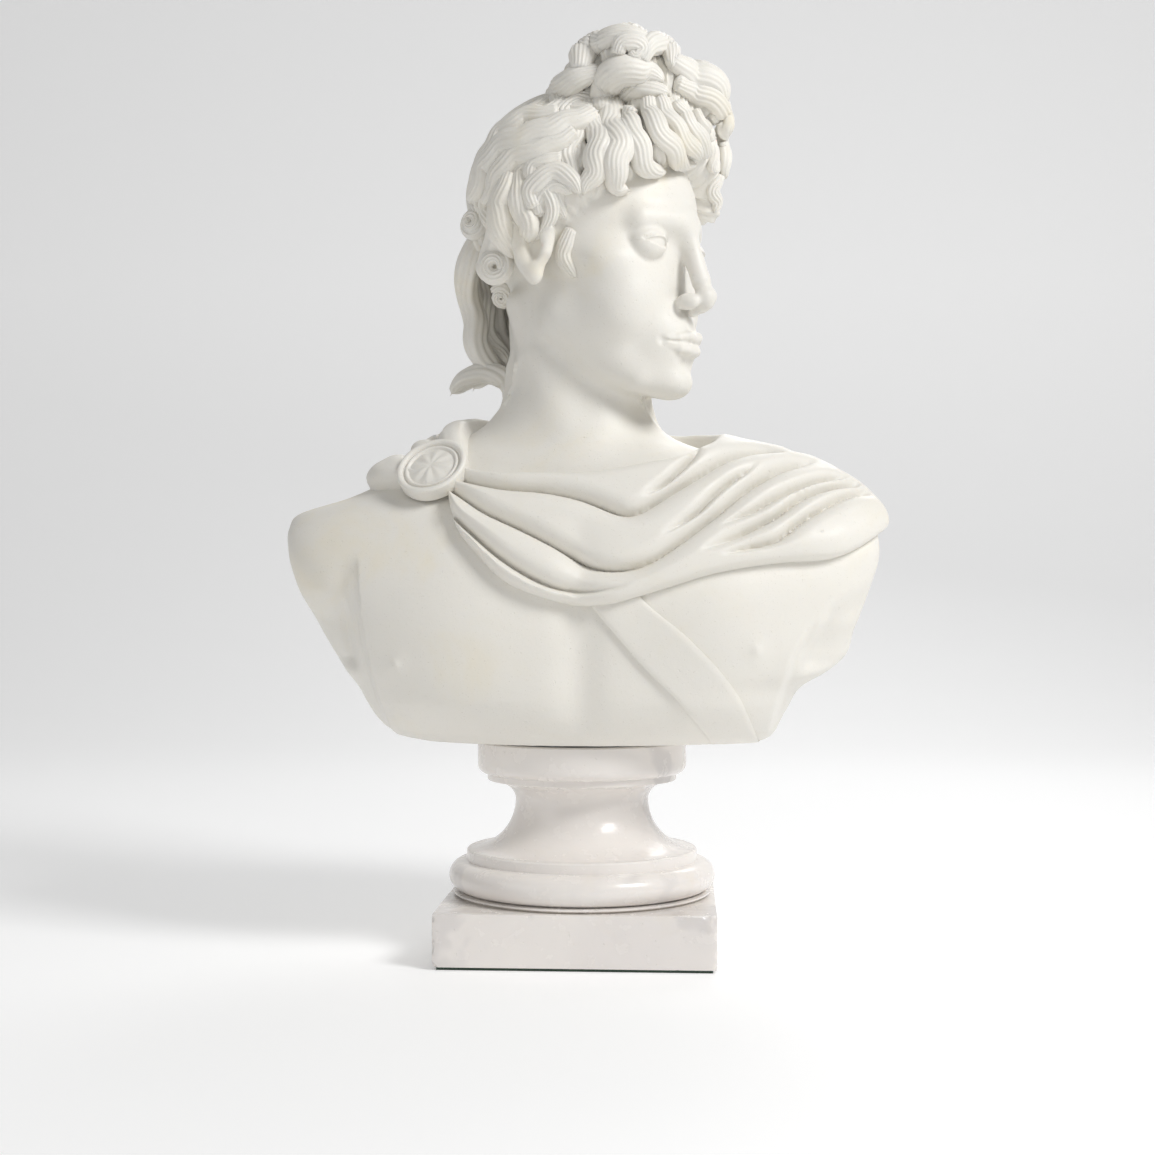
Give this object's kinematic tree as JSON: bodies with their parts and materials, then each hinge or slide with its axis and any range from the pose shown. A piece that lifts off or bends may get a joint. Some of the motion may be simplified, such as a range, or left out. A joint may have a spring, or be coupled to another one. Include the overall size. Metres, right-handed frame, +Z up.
{
  "type": "marble portrait bust",
  "caption": "Classical marble bust of a youth in a pinned cloak, with a hollow back, on a turned socle and square plinth, able to turn on its fixing rod.",
  "frame": {"origin": "on the axis of the socle and fixing rod, at the underside of the felt that the bust stands on", "axes": "+Z up along the rod, the chest faces -Y, +X is to the right of a viewer who faces the chest"},
  "size_m": [0.4491, 0.2325, 0.6995],
  "materials": {
    "statuary_marble": "rubbed matt",
    "veined_marble": "polished",
    "stone_resin": "cast",
    "stainless_steel": "rolled thread",
    "lead_sheet": "dull milled",
    "lime_mortar": "struck",
    "brass_dowel": "drawn",
    "black_rubber": "moulded",
    "green_felt": "pressed wool"
  },
  "bodies": {
    "base": {"socle": "veined_marble", "plinth": "veined_marble", "felt_base": "green_felt", "setting_bed": "lime_mortar", "locating_dowels": "brass_dowel", "slip_disc": "lead_sheet", "rubber_washer": "black_rubber", "steel_washer": "stainless_steel"},
    "bust_block": {"bust": "statuary_marble", "threaded_rod": "stainless_steel", "resin_sleeve": "stone_resin", "hex_nut": "stainless_steel", "lock_nut": "stainless_steel"}
  },
  "joints": [
    {"name": "bust_swivel", "type": "hinge", "parent": "base", "child": "bust_block", "pos_m": [0, 0, 0.1575], "axis": [0, 0, 1], "continuous": true}
  ]
}
